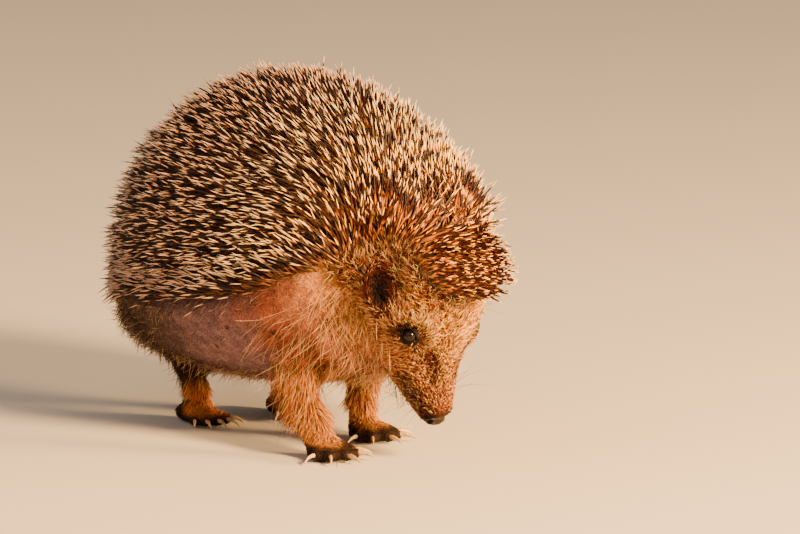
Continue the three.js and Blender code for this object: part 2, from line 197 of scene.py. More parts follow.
class Block:
    """A block of space cut into small cubes, to work out shapes from each cube's distance to a surface."""

    def __init__(self, points, cube):
        self.cube = cube
        first = np.floor(points.min(0) / cube).astype(int) - CLEAR_MARGIN
        self.size = tuple(int(n) for n in np.ceil(points.max(0) / cube).astype(int) + CLEAR_MARGIN - first)
        self.first = tuple(int(i) for i in first)
        steps = [(first[i] + np.arange(self.size[i])) * cube for i in range(3)]
        self.places = np.stack(np.meshgrid(*steps, indexing="ij"), -1).astype(np.float32)

    def distance(self, points, triangles, reach):
        """Distance from each cube to the surface, up to reach, negative inside."""
        grid = openvdb.FloatGrid.createLevelSetFromPolygons(
            points.astype(np.float32), triangles=triangles.astype(np.uint32),
            transform=openvdb.createLinearTransform(voxelSize=self.cube), halfWidth=reach / self.cube,
        )
        field = np.empty(self.size, np.float32)
        grid.copyToArray(field, ijk=self.first)
        return field

    def ellipsoid(self, centre, directions, radii):
        """Distance from each cube to an ellipsoid, near enough."""
        away = self.places - np.asarray(centre, np.float32)
        scaled = [away @ (np.asarray(d, np.float32) / np.float32(r)) for d, r in zip(directions, radii)]
        return (np.sqrt(sum(s * s for s in scaled)) - 1) * min(radii)

    def fold(self, field, line, width, depth):
        """Presses the surface in, or out, along a line."""
        line = np.array(line, np.float32)
        low = np.floor((line.min(0) - 3 * width) / self.cube).astype(int) - self.first
        high = np.ceil((line.max(0) + 3 * width) / self.cube).astype(int) - self.first
        part = tuple(slice(max(int(a), 0), int(b)) for a, b in zip(low, high))
        near = from_line(self.places[part], line)
        field[part] += depth * np.exp(-((near / width) ** 2))

    def smoothed(self, field, width):
        """The field after a Gaussian blur."""
        sigma = width / self.cube
        reach = int(math.ceil(2.5 * sigma))
        weights = np.exp(-0.5 * (np.arange(-reach, reach + 1) / sigma) ** 2)
        weights = (weights / weights.sum()).astype(np.float32)
        for axis in range(3):
            padded = np.pad(field, [(reach, reach) if a == axis else (0, 0) for a in range(3)], mode="edge")
            size = field.shape[axis]
            parts = [padded[(slice(None),) * axis + (slice(i, i + size),)] for i in range(len(weights))]
            field = parts[reach] * weights[reach]
            for i in range(reach):
                field += (parts[i] + parts[-1 - i]) * weights[i]
        return field

    def surface(self, field):
        """The points and triangles where the field is zero."""
        grid = openvdb.FloatGrid(float(field.max()))
        grid.copyFromArray(np.ascontiguousarray(field, np.float32), ijk=self.first)
        grid.transform = openvdb.createLinearTransform(voxelSize=self.cube)
        grid.gridClass = openvdb.GridClass.LEVEL_SET
        points, triangles, quads = grid.convertToPolygons()
        quads = quads.astype(np.int64)
        return points, np.concatenate([triangles.astype(np.int64), quads[:, [2, 1, 0]], quads[:, [3, 2, 0]]])


HIDE_CUBE = 0.85
HIDE_BLUR = 2.0
FACE_BLUR = 0.7  # on face and paws, whose forms are finer
EAR_CUBE = 0.32
EAR_BLUR = 0.45
EAR_DOWN = 0.25
EAR_POCKET = [8.5, 12.0, 6.0]  # the room that the ears leave in the head: across, up, deep
EAR_POCKET_TURN = 0.5  # how far it faces out of the bridge
EAR_POCKET_SUNK = 3.5  # its middle inward of the ear's
EYE_WAY = (0.86, 0.51)  # how far an eye faces to its side, and out of the bridge
EYE_POCKET = [6.5, 6.5, 3.5]  # the room that the eyes leave: along the head, round it, deep
EYE_POCKET_SUNK = 3.2
EYE_MOUND = [5.3, 5.3, 3.2]  # what the lids lie on
EYE_MOUND_SUNK = 2.2
EYE_SOCKET = 3.0  # radius
NOSE_BED = [4.6, 4.0, 3.7]  # what the nose leather lies on: across, out of the bridge, along
NOSE_BED_MIDDLE = at_head(6.0, 0, -3.2)
SOLE_LEVEL = 0.15

flesh_points, flesh_triangles = together([solid(name) for name in FLESH + PAWS])
block = Block(flesh_points, HIDE_CUBE)
outside = block.distance(flesh_points, flesh_triangles, 3 * HIDE_CUBE) - SEAM_CLOSING
for ear, side in zip(ears, (1, -1)):
    outward = unit(head_right * side + head_front * EAR_POCKET_TURN)
    across = unit(np.cross(head_up, outward))
    place = ear - outward * EAR_POCKET_SUNK - head_up
    outside = np.minimum(outside, block.ellipsoid(place, (across, head_up, outward), EAR_POCKET))
eye_outward = [unit(head_right * side * EYE_WAY[0] + head_front * EYE_WAY[1]) for side in (1, -1)]
eye_round = [unit(np.cross(head_up, outward)) for outward in eye_outward]
for eye, outward, round_head in zip(eyes, eye_outward, eye_round):
    place = eye - outward * EYE_POCKET_SUNK
    outside = np.minimum(outside, block.ellipsoid(place, (head_up, round_head, outward), EYE_POCKET))
outside = np.minimum(outside, block.ellipsoid(NOSE_BED_MIDDLE, (head_right, head_front, head_up), NOSE_BED))

outline = block.distance(*block.surface(outside), OUTLINE_REACH) + SEAM_CLOSING
deep = outline.copy()
near = deep > -OUTLINE_REACH
deep[near] += coat_depth(block.places[near])
deep[~near] += QUILL_DEPTH
height, back = block.places[..., 2], block.places[..., 1]
fine_share = np.maximum(rise(height, 10, 5), rise(back, -60, -72) * rise(height, 76, 66))
fine = block.smoothed(deep, FACE_BLUR)
deep = block.smoothed(deep, HIDE_BLUR)
deep += (fine - deep) * fine_share
for line, width, depth in FOLDS:
    block.fold(deep, line, width, depth)
for eye, outward, round_head in zip(eyes, eye_outward, eye_round):
    place = eye - outward * EYE_MOUND_SUNK
    deep = np.minimum(deep, block.ellipsoid(place, (head_up, round_head, outward), EYE_MOUND))
    deep = np.maximum(deep, EYE_SOCKET - np.linalg.norm(block.places - eye.astype(np.float32), axis=-1))
deep = np.maximum(deep, SOLE_LEVEL - height)
body_shape = block.surface(deep)


def ear_shape(name):
    points, triangles = solid(name)
    ear_block = Block(points, EAR_CUBE)
    field = ear_block.smoothed(ear_block.distance(points, triangles, 2.5), EAR_BLUR)
    return ear_block.surface(field + EAR_DOWN)


# A lid is a rolled rim on the eyeball, running out into the hide: distance out from the opening's edge, and height
# over it.
EYE_RADIUS = 2.9
EYE_OPENING = (2.5, 2.15)  # half length and half height
LID_CORNER = 0.25  # how far the opening is drawn out at its corners
LID_GAP = 0.06  # between lid and eyeball
LID_ROLL = [
    (-0.05, -0.5), (0.0, -0.08), (0.12, 0.14), (0.4, 0.2), (0.8, -0.1), (1.4, -0.7), (2.0, -1.35), (2.4, -2.2),
    (1.4, -2.9), (0.4, -2.2),
]
LID_STEPS = 40


def turns(steps):
    """Angles all the way round, in even steps."""
    return np.arange(steps) * 2 * math.pi / steps


def lid_shape(eye, outward, length_way):
    """The rim of hide round an eye."""
    height_way = np.cross(outward, length_way)
    points = []
    for angle in turns(LID_STEPS):
        c, s = math.cos(angle), math.sin(angle)
        edge = 1 / math.hypot(c / EYE_OPENING[0], s / EYE_OPENING[1])
        edge += LID_CORNER * c**8
        level = math.sqrt((EYE_RADIUS + LID_GAP) ** 2 - min(edge, EYE_RADIUS) ** 2)
        way = length_way * c + height_way * s
        points += [eye + way * (edge + out) + outward * (level + up) for out, up in LID_ROLL]
    roll = len(LID_ROLL)
    triangles = []
    for i in range(LID_STEPS):
        for j in range(roll):
            a, b = i * roll + j, i * roll + (j + 1) % roll
            c, d = (a + roll) % len(points), (b + roll) % len(points)
            triangles += [(a, c, b), (b, c, d)]
    return np.array(points), np.array(triangles)


eye_slant = head_front * 0.9 - head_up * 0.8  # from an eye's outer corner to its inner one
lid_length = [unit(eye_slant - way * (eye_slant @ way)) for way in eye_outward]
lids = [lid_shape(*parts) for parts in zip(eyes, eye_outward, lid_length)]
shapes = [body_shape] + [ear_shape(name) for name in EARS] + lids
hide_points, hide_triangles = together(shapes)
ears_start = len(body_shape[0])
lids_start = len(hide_points) - 2 * len(lids[0][0])


def new_mesh(name, points, corners, starts):
    """A smooth-shaded mesh from points in millimetres, the faces' corners in a row, and where each face starts."""
    mesh = bpy.data.meshes.new(name)
    mesh.vertices.add(len(points))
    mesh.vertices.foreach_set("co", (np.asarray(points, np.float32) * MM).ravel())
    mesh.loops.add(len(corners))
    mesh.loops.foreach_set("vertex_index", np.asarray(corners, np.int32))
    mesh.polygons.add(len(starts))
    mesh.polygons.foreach_set("loop_start", np.asarray(starts, np.int32))
    mesh.update(calc_edges=True)
    mesh.polygons.foreach_set("use_smooth", np.ones(len(starts), bool))
    return mesh


def new_shape(name, points, triangles):
    return new_mesh(name, points, triangles.ravel(), np.arange(len(triangles)) * 3)


def placed(name, data):
    """A new object in the scene."""
    made = bpy.data.objects.new(name, data)
    bpy.context.scene.collection.objects.link(made)
    return made


def new_piece(name, mesh):
    piece = placed(name, mesh)
    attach(piece, "root")
    return piece


def painted(mesh, name, kind, values):
    """Keeps a value for every point of a mesh, for its material."""
    layer = mesh.attributes.new(name, kind, "POINT")
    layer.data.foreach_set("color" if kind == "FLOAT_COLOR" else "value", np.asarray(values, np.float32).ravel())


KEPT_UNDER_QUILLS = 0.12  # share of the triangles


def thinned(points, triangles, hidden, on_ear):
    """The shape with fewer triangles where it is hidden, and its ears marked."""
    rough = placed("rough", new_shape("rough", points, triangles))
    painted(rough.data, "ear", "FLOAT", on_ear)
    group = rough.vertex_groups.new(name="hidden")
    group.add(np.nonzero(hidden)[0].tolist(), 1.0, "REPLACE")
    thin = rough.modifiers.new("thin", "DECIMATE")
    out_of_sight = hidden[triangles].all(1).mean()
    thin.ratio = 1 - out_of_sight * (1 - KEPT_UNDER_QUILLS)
    thin.vertex_group = "hidden"
    made = bpy.data.meshes.new_from_object(rough.evaluated_get(bpy.context.evaluated_depsgraph_get()))
    bpy.data.objects.remove(rough)
    return made


order = np.arange(len(hide_points))
on_ear = (order >= ears_start) & (order < lids_start)
hidden = (over_edge(hide_points) > 3) & (order < ears_start)
hide_mesh = thinned(hide_points, hide_triangles, hidden, on_ear)
hide_mesh.name = "hide"
hide = new_piece("hide", hide_mesh)
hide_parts(*FLESH, *PAWS, *EARS)

# The hide is unwrapped along its own shape.
UNWRAP_ANGLE = math.radians(66)
UNWRAP_GAP = 0.001
hide_mesh.uv_layers.new(name="OFBake")
bpy.context.view_layer.objects.active = hide
hide.select_set(True)
bpy.ops.object.mode_set(mode="EDIT")
bpy.ops.mesh.select_all(action="SELECT")
bpy.ops.uv.smart_project(angle_limit=UNWRAP_ANGLE, island_margin=UNWRAP_GAP)
bpy.ops.object.mode_set(mode="OBJECT")


def read(collection, name, width, kind=np.float32):
    """One value, or a few, of every part of a mesh, a row for each part."""
    values = np.empty(len(collection) * width, kind)
    collection.foreach_get(name, values)
    return values.reshape(-1, width)


hide_places = read(hide_mesh.vertices, "co", 3).astype(float) / MM
hide_normals = read(hide_mesh.vertices, "normal", 3).astype(float)
hide_corners = read(hide_mesh.polygons, "vertices", 3, np.int32)
hide_unwrap = read(hide_mesh.uv_layers["OFBake"].data, "uv", 2).reshape(-1, 3, 2)
hide_ear = read(hide_mesh.attributes["ear"].data, "value", 1).ravel()


def linear(code):
    """A colour's sRGB hex code turned to linear light."""
    parts = np.array([int(code[i : i + 2], 16) for i in (0, 2, 4)]) / 255
    return np.where(parts <= 0.04045, parts / 12.92, ((parts + 0.055) / 1.055) ** 2.4)


def wobble(places, size, seed):
    """A smooth, irregular change from about -1 to 1 over distances of about size."""
    rng = np.random.default_rng(seed)
    waves = unit(rng.normal(size=(9, 3))) * (2 * math.pi / size) * rng.uniform(0.6, 1.5, (9, 1))
    return np.sin(places @ waves.T + rng.uniform(0, 2 * math.pi, 9)).sum(1) / 4.5


def leg_line(paw, leg):
    """A leg from its top to its paw, as two places."""
    across, back, _ = middle(leg)
    return np.array([across, back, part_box(leg)[1][2] / MM]), middle(paw)


leg_lines = [leg_line(paw, leg) for paw, leg in zip(PAWS, FLESH[4:])]
# Colours of hide and coat. The rear flank's and the hind legs' are partly painted shade, the neck's and the shank's
# partly painted light, and the quill shade, the elbow crease and the ear slit are painted shade.
FLANK = "906C76"
FORE_FLANK = "A6583E"
SHOULDER = "DC9060"
NECK_SKIN_AND_LIGHT = "F09C6C"
REAR_FLANK_AND_SHADE = "5A403A"
BELLY = "70402A"
PAINTED_QUILL_SHADE = "4A3528"
FORELEG = "FFA64C"
HINDLEG_AND_SHADE = "42200F"
SHANK_AND_SUNLIGHT = "FF9636"
PAW = "35211A"
FACE = "F09C50"
FOREHEAD = "F0AC3C"
CHEEK = "FFB060"
CHIN = "E4A868"
DARK_MARK = "3A150A"
STRIPE = "561E10"
EYELID = "0A0302"
MUZZLE = "9C5026"
BROW = "FFC878"
EAR_RIM = "6E2E1A"
CROWN = "B46C2C"
EAR_DISH = "4A2016"
EAR_SLIT_SHADE = "1C0A06"
ELBOW_CREASE_SHADE = "8A4426"
MOLE = "3A1C14"
MOLES = np.array([(-56.3, -17.9, 51.3), (-48.4, -38.0, 50.7), (-53.3, -6.5, 42.2)])
MOLE_THROUGH = [9, 0, 0]  # a mole reaches this far into the body
ELBOW_SHADE_LINE = np.array([(-46, -36, 48.5), (-28, -44, 36)])
EAR_HOLLOW = [6.2, 6.2, 9.6]
EAR_SLIT_SIZE = [3.6, 3.6, 8.5]
EAR_SLIT_DOWN = 2  # its middle below the ear's
HAIR_SHADE = 0.62  # what thick fur keeps off the hide
# Marks of the face, for both sides: places along each, how wide it is, how strong, and its colour.
FACE_MARKS = [
    ([(47.0, 24.0, 8.0), (44.5, 19.5, 13.5), (40.0, 14.0, 17.0), (35.0, 11.0, 16.5)], 2.2, 0.9, BROW),
    ([(39.6, 20.6, 9.0), (38.0, 17.4, 12.8), (34.0, 14.6, 13.0)], 3.4, 1.0, DARK_MARK),
    ([(34.0, 14.6, 13.0), (28.6, 10.6, 12.0), (24.4, 7.2, 10.8), (19.4, 5.0, 9.0)], 3.6, 1.0, STRIPE),
    ([(21.1, 11.6, -6.0), (15.3, 9.0, -5.0), (10.0, 7.2, -3.6), (5.5, 5.6, -2.6)], 3.6, 0.9, STRIPE),
]
FLATTENED = np.array([1, 1, 0.45])  # a mark reaches further in and out of the face than along it


def nearest(places, centres, size=1.0):
    """Distance to the nearest of some centres, in parts of a size."""
    return np.min([np.linalg.norm((places - centre) / size, axis=1) for centre in centres], 0)


def leg_share(places):
    """1 on the legs, falling to 0 on the body."""
    near = np.max([rise(from_line(places, line), 15, 10) for line in leg_lines], 0)
    return near * rise(places[:, 2], 40, 34)


def markings_light_and_shade(places, ear=0.0):
    """The coat's and the hide's colour, in linear light, with painted light and painted shade in some places."""
    along, right, front = in_head(places)
    height, back = places[:, 2], places[:, 1]
    side = np.abs(right)
    drift = wobble(places, 14, 3) * 0.5
    colour = np.tile(linear(FLANK), (len(places), 1))

    def mark(code, share):
        colour[:] += (linear(code) - colour) * np.clip(share, 0, 1)[:, None]

    # Darker and browner towards the rump: partly the flank's own tone, partly painted shade.
    mark(REAR_FLANK_AND_SHADE, rise(back + drift * 12, -12, 40))
    mark(FORE_FLANK, rise(back + drift * 14, -12, -46))
    mark(SHOULDER, rise(back + drift * 12, -42, -64))
    # Pale pink neck skin, made brighter as painted light where the head shades the neck.
    mark(NECK_SKIN_AND_LIGHT, rise(back + drift * 6, -50, -60))
    mark(BELLY, rise(height + drift * 5, 34, 24) * 0.8)
    legs = [rise(from_line(places, line), 15, 9) for line in leg_lines]
    mark(FORELEG, np.maximum(legs[0], legs[1]) * rise(height, 42, 30))
    # The hind legs' dark brown is partly their own colour, partly painted shade under the body.
    mark(HINDLEG_AND_SHADE, np.maximum(legs[2], legs[3]) * rise(height, 46, 34))
    # Bright orange low on each hind leg: orange fur, brightened as a painted patch of sunlight.
    mark(SHANK_AND_SUNLIGHT, np.maximum(legs[2], legs[3]) * rise(height, 19, 14) * rise(back, 56, 50))
    # A painted shadow in the crease over the elbow, between shoulder and foreleg.
    mark(ELBOW_CREASE_SHADE, 0.75 * rise(from_line(places, ELBOW_SHADE_LINE), 8, 2.5))
    for mole in MOLES:
        mark(MOLE, rise(from_line(places, [mole, mole + MOLE_THROUGH]), 1.3, 0.6))
    ankle = 2.8 * rise(back, 0, 10)  # the hind feet are bare only lower down
    mark(PAW, rise(height + ankle + drift * 1.5, 8.4, 5.4))
    face = face_share(places)
    mark(FACE, thick_fur(places))
    mark(CHEEK, face * rise(side, 12, 22) * rise(front, 4, -6) * rise(along, 18, 30))
    mark(CHIN, face * rise(front + drift * 2, -9, -14) * rise(side, 9, 4))
    mark(FOREHEAD, face * rise(front - side * 0.5, 3, 9) * rise(along, 14, 24))
    mark(MUZZLE, face * rise(along + drift * 6, 20, 13) * rise(front, 11, 4) * 0.8)
    one_side = np.stack([along, side, front], 1) * FLATTENED
    for line, width, share, code in FACE_MARKS:
        near = from_line(one_side, np.array(line) * FLATTENED)
        mark(code, share * face * np.exp(-((near / width) ** 3)) * (1 + drift * 0.3))
    mark(DARK_MARK, 0.75 * face * rise(along, 7, 4.5))
    mark(EYELID, rise(nearest(places, eyes), 4.7, 3.9))
    mark(CROWN, rise(back, -58, -66) * rise(over_edge(places), -13, -4))
    # Painted shade: the hide goes dark between the quills' roots, and a softer dark band lies just under their lowest
    # row.
    mark(PAINTED_QUILL_SHADE, np.maximum(0.45 * rise(over_edge(places), -9, 0), rise(over_edge(places), 0, 7)))
    deep = nearest(places, ears, EAR_HOLLOW)
    mark(EAR_RIM, np.maximum(ear, rise(deep, 1.5, 1.1)))
    mark(EAR_DISH, rise(deep, 1.0, 0.75))
    # Painted shade: the ear's slit, where it opens into the head, is near black.
    mark(EAR_SLIT_SHADE, rise(nearest(places + UP * EAR_SLIT_DOWN, ears, EAR_SLIT_SIZE), 1.1, 0.8))
    return colour


def rgba(colours):
    return np.hstack([colours, np.ones((len(colours), 1))])


def shade(places):
    """How much light the hair leaves for the hide under it."""
    thick = np.maximum(thick_fur(places), leg_share(places) * rise(places[:, 2], 6, 9))
    return 1 - HAIR_SHADE * thick[:, None]


# The hide's colour: its markings with their painted light and shade, and painted shade where thick hair covers it.
painted(hide_mesh, "marking_light_and_shade", "FLOAT_COLOR", rgba(markings_light_and_shade(hide_places, hide_ear) * shade(hide_places)))


def new_material(name):
    material = bpy.data.materials.new(name)
    material.use_nodes = True
    material.node_tree.nodes.clear()
    return material


def node(material, kind, settings=None, stops=(), **inputs):
    """Adds a shader node with its settings, a ramp's stops, and its inputs, each a value or another node's output."""
    made = material.node_tree.nodes.new("ShaderNode" + kind)
    for name, value in (settings or {}).items():
        setattr(made, name, value)
    for i, (place, code) in enumerate(stops):
        stop = made.color_ramp.elements[i] if i < 2 else made.color_ramp.elements.new(place)
        stop.position, stop.color = place, (*linear(code), 1)
    for name, value in inputs.items():
        socket = made.inputs[int(name[1:]) if name[1:].isdigit() else name.replace("_", " ")]
        if isinstance(value, bpy.types.NodeSocket):
            material.node_tree.links.new(value, socket)
        else:
            socket.default_value = value
    return made


# Bare and thinly haired skin: soft, pink where the blood shows, finely wrinkled, with a dull sheen.
SKIN_GRAIN = 0.55  # mm between wrinkles
SKIN_BLOTCH = 5.0  # mm across a blotch
SKIN_CREASE = 2.4  # mm between creases
skin = new_material("living skin under fur")
place_in_mm = node(skin, "TexCoord").outputs["Object"]
marking_light_and_shade = node(skin, "Attribute", {"attribute_name": "marking_light_and_shade"}).outputs["Color"]
grain = node(skin, "TexNoise", Vector=place_in_mm, Scale=1 / (SKIN_GRAIN * MM), Detail=3.0, Roughness=0.6)
blotch = node(skin, "TexNoise", Vector=place_in_mm, Scale=1 / (SKIN_BLOTCH * MM), Detail=3.0, Roughness=0.6)
patchy = node(skin, "ValToRGB", None, [(0.3, "A8A8A8"), (0.7, "FFFFFF")], Fac=blotch.outputs["Fac"])
fleck = node(skin, "ValToRGB", None, [(0.35, "9A9A9A"), (0.65, "FFFFFF")], Fac=grain.outputs["Fac"])
MULTIPLY = {"data_type": "RGBA", "blend_type": "MULTIPLY"}
toned = node(skin, "Mix", MULTIPLY, _0=1.0, _6=marking_light_and_shade, _7=patchy.outputs["Color"])
flecked = node(skin, "Mix", MULTIPLY, _0=1.0, _6=toned.outputs[2], _7=fleck.outputs["Color"])
creases = node(skin, "TexVoronoi", {"feature": "DISTANCE_TO_EDGE"}, Vector=place_in_mm, Scale=1 / (SKIN_CREASE * MM))
crease = node(skin, "ValToRGB", None, [(0.0, "000000"), (0.22, "FFFFFF")], Fac=creases.outputs["Distance"])
fine_relief = node(skin, "Bump", Strength=0.6, Distance=0.25 * MM, Height=grain.outputs["Fac"])
relief = node(
    skin, "Bump", Strength=0.5, Distance=0.3 * MM, Height=crease.outputs["Color"],
    Normal=fine_relief.outputs["Normal"],
)
shader = node(
    skin, "BsdfPrincipled", Base_Color=flecked.outputs[2], Roughness=0.62, Normal=relief.outputs["Normal"],
    Specular_IOR_Level=0.12,
)
node(skin, "OutputMaterial", Surface=shader.outputs["BSDF"])
hide_mesh.materials.append(skin)

# ---- The quills ----
# Some eight thousand quills stand over back, flanks and crown. Each is a stiff hollow hair of keratin, about
# 21 mm long, tan at its root, dark brown above, and cream at its sharp tip. They lean back from a parting
# over the ears and forward over the brow.

QUILL_LENGTH = 21.0
QUILL_RADIUS = 0.38
QUILL_SPACING = 1.62
QUILLS_SOWN = 3.2  # to a square millimetre, before they are spaced
QUILL_SIDES = 5
QUILL_SHAPE = [(0.0, 0.5), (0.1, 0.85), (0.5, 1.0), (0.8, 0.7), (0.93, 0.32)]  # share of length, of radius
QUILL_LIFT = math.radians(36)
QUILL_STEEPEST = math.radians(58)
QUILL_STRAY = 0.3
QUILL_TINT = "FCFAF8"
# Where the quills' tint changes along the back: y from which, y to which, and the change. The last, darker and cooler
# over the rump, is painted shade.
QUILL_TINTS_AND_SHADE = [(-20, -80, "FFDC90"), (-50, -10, "E2CED2"), (20, 80, "D2DEF6")]
LOW_ROW_TINT = "D8D0D0"
EAR_CLEARING = [9.5, 9.5, 12.5]  # the room that the quills leave round an ear
LARGEST_PIECE = 180000  # triangles
UNWRAP_PATCH = 0.003  # a tuft's share of the unwrap
OVER_FLOOR = 0.2


class Roots:
    """Where tufts grow on the hide: their places, the hide's own directions and their places on its unwrap."""

    def __init__(self, triangles, shares):
        self.triangles, self.shares = triangles, shares
        corners = hide_corners[triangles]
        weights = shares[:, :, None]
        self.places = (hide_places[corners] * weights).sum(1)
        self.normals = unit((hide_normals[corners] * weights).sum(1))
        self.unwrap = (hide_unwrap[triangles] * weights).sum(1)
        self.ear = (hide_ear[corners] * shares).sum(1)

    def __len__(self):
        return len(self.triangles)

    def kept(self, chosen):
        return Roots(self.triangles[chosen], self.shares[chosen])


hide_middles = hide_places[hide_corners].mean(1)
hide_edges = [hide_places[hide_corners[:, i]] - hide_places[hide_corners[:, 0]] for i in (1, 2)]
hide_areas = np.linalg.norm(np.cross(*hide_edges), axis=1) / 2
on_ear = hide_ear[hide_corners].mean(1) > 0.5


def sown(density, seed):
    """Roots strewn at a density per square millimetre, given for every triangle of the hide."""
    rng = np.random.default_rng(seed)
    total = np.cumsum(density * hide_areas)
    count = int(total[-1])
    draws = (np.arange(count) + rng.random(count)) * total[-1] / count
    a, b = np.sqrt(rng.random(count)), rng.random(count)
    return Roots(np.searchsorted(total, draws), np.stack([1 - a, a * (1 - b), a * b], 1))


def spaced(roots, spacing, seed):
    """Those of the roots that keep their own spacing from those already kept."""
    cells = np.floor(roots.places / spacing.max()).astype(int).tolist()
    places = roots.places.tolist()
    steps = [(a, b, c) for a in (-1, 0, 1) for b in (-1, 0, 1) for c in (-1, 0, 1)]
    taken, chosen = {}, []
    for i in np.random.default_rng(seed).permutation(len(cells)):
        x, y, z = cells[i]
        here = places[i]
        others = [o for a, b, c in steps for o in taken.get((x + a, y + b, z + c), ())]
        if all(math.dist(here, o) > spacing[i] for o in others):
            taken.setdefault((x, y, z), []).append(here)
            chosen.append(i)
    return roots.kept(np.sort(np.array(chosen)))


def leaning(flow, normals, lift, stray, seed):
    """Directions that follow the flow along the hide, lifted from it, each one straying a little sideways."""
    rng = np.random.default_rng(seed)
    flat = unit(flow - (flow * normals).sum(1, keepdims=True) * normals)
    sideways = np.cross(normals, flat)
    flat = unit(flat + sideways * rng.normal(size=(len(flat), 1)) * stray)
    lift = np.broadcast_to(lift, len(flat))[:, None]
    return flat * np.cos(lift) + normals * np.sin(lift)


def over_outline(places):
    """How far places stand out of the coat's outline."""
    steps = np.rint(places / HIDE_CUBE).astype(int) - block.first
    steps = np.clip(steps, 0, np.array(block.size) - 1)
    return outline[steps[:, 0], steps[:, 1], steps[:, 2]]


def lifted_to_outline(roots, flow, lengths, lift, least, most, reach):
    """Lifts that bring the tips to the coat's outline, or as far over it as reach says."""
    for _ in range(5):
        tips = roots.places + leaning(flow, roots.normals, lift, 0, 0) * lengths[:, None]
        lift = np.clip(lift - (over_outline(tips) - reach) / lengths, least, most)
    return lift


def grow(name, roots, leans, lengths, radii, shape, sides, bend, colours, material, shift=0.0):
    """Joined meshes of tufts, tapered by shape, and each bent by a share of its length towards bend."""
    rings = len(shape)
    shares = np.array([place for place, _ in shape] + [1.0])
    thick = np.array([width for _, width in shape])
    turn = turns(sides)
    across = unit(np.cross(leans, roots.normals))
    upward = np.cross(leans, across)
    lengths = np.broadcast_to(lengths, len(roots))[:, None, None]
    path = leans[:, None, :] * shares[:, None] * lengths + bend[:, None, :] * (shares**2)[:, None] * lengths
    path += roots.places[:, None, :]
    ring = across[:, None, :] * np.cos(turn)[:, None] + upward[:, None, :] * np.sin(turn)[:, None]
    ring = ring[:, None] * thick[:, None, None] * np.broadcast_to(radii, len(roots))[:, None, None, None]
    points = np.concatenate([(path[:, :-1, None] + ring).reshape(len(roots), -1, 3), path[:, -1:]], 1)
    points[..., 2] = np.maximum(points[..., 2], OVER_FLOOR)

    # One tuft's faces: their corners, where each starts, and the corners' places on the tuft's patch of the unwrap.
    corners, starts, patch = [], [], []

    def face(*spots):
        starts.append(len(corners))
        for r, k in spots:
            corners.append(r * sides + int(k) % sides if r < rings else rings * sides)
            patch.append((k / sides, shares[r]))

    face(*[(0, k) for k in reversed(range(sides))])
    for r in range(rings - 1):
        for k in range(sides):
            face((r, k), (r, k + 1), (r + 1, k + 1), (r + 1, k))
    for k in range(sides):
        face((rings - 1, k), (rings - 1, k + 1), (rings, k + 0.5))
    per_tuft = sides - 2 + 2 * sides * (rings - 1) + sides
    along = np.append(np.repeat(shares[:-1], sides), 1.0)
    pieces = math.ceil(len(roots) * per_tuft / LARGEST_PIECE)
    for number, part in enumerate(np.array_split(np.arange(len(roots)), pieces)):
        first = np.arange(len(part))[:, None]
        part_corners = (first * points.shape[1] + np.array(corners)).ravel()
        part_starts = (first * len(corners) + np.array(starts)).ravel()
        mesh = new_mesh(name, points[part].reshape(-1, 3), part_corners, part_starts)
        spread = roots.unwrap[part][:, None, :] + (np.array(patch) - 0.5) * UNWRAP_PATCH
        mesh.uv_layers.new(name="OFBake").data.foreach_set("uv", spread.astype(np.float32).ravel())
        painted(mesh, "along", "FLOAT", along + np.broadcast_to(shift, len(roots))[part, None])
        painted(mesh, "marking_light_and_shade", "FLOAT_COLOR", np.repeat(rgba(colours[part]), points.shape[1], 0))
        mesh.materials.append(material)
        piece = new_piece(f"{name}_{number + 1}", mesh)


# Keratin quill: smooth and hard, with a soft narrow shine. Tan, dark and cream bands follow each other up it.
quill = new_material("keratin quill")
along_quill = node(quill, "Attribute", {"attribute_name": "along"}).outputs["Fac"]
quill_tint_and_shade = node(quill, "Attribute", {"attribute_name": "marking_light_and_shade"}).outputs["Color"]
bands = node(
    quill, "ValToRGB", None,
    [(0.0, "7A5A38"), (1.0, "FFF6DC"), (0.34, "B07A3C"), (0.43, "4A1E10"), (0.52, "280C08"), (0.775, "200A06"),
     (0.815, "DCA464"), (0.88, "FFEFD0")],
    Fac=along_quill,
)
quill_colour = node(quill, "Mix", MULTIPLY, _0=1.0, _6=bands.outputs["Color"], _7=quill_tint_and_shade)
quill_shader = node(
    quill, "BsdfPrincipled", Base_Color=quill_colour.outputs[2], Roughness=0.42, Specular_IOR_Level=0.3,
)
node(quill, "OutputMaterial", Surface=quill_shader.outputs["BSDF"])

BACK_ENDS, BROW_STARTS = -44, -100  # y where the quills begin and end to turn forward


def nearest_ear(places):
    """The way from the ears: from each side's own beside it, and from their middle between them."""
    share = rise(places[:, :1], 20, -20)
    return places - ears[0] * share - ears[1] * (1 - share)


head_side = np.array([1.0, 0.0, 0.0])  # the brow's quills fan out to the side that the head turns to


def quill_flow(places):
    """To the rear over the back, up and away from the ears, forward at the brow, and down along the lower edge."""
    turn = rise(places[:, 1:2], BACK_ENDS, BROW_STARTS)
    low = rise(over_edge(places), 30, 0)[:, None]
    outward = np.sign(places[:, :1]) * np.array([[0.12, 0, 0]])
    backward = outward + [0, 1, -0.13] - low * [0, 0, 0.05]
    upward = UP + unit(nearest_ear(places)) * 0.5
    onward = forward + head_side * 0.5 + UP * (0.3 - 0.16 * low)
    halfway = 1 - np.abs(2 * turn - 1)
    return backward * np.clip(1 - 2 * turn, 0, 1) + upward * halfway + onward * np.clip(2 * turn - 1, 0, 1)


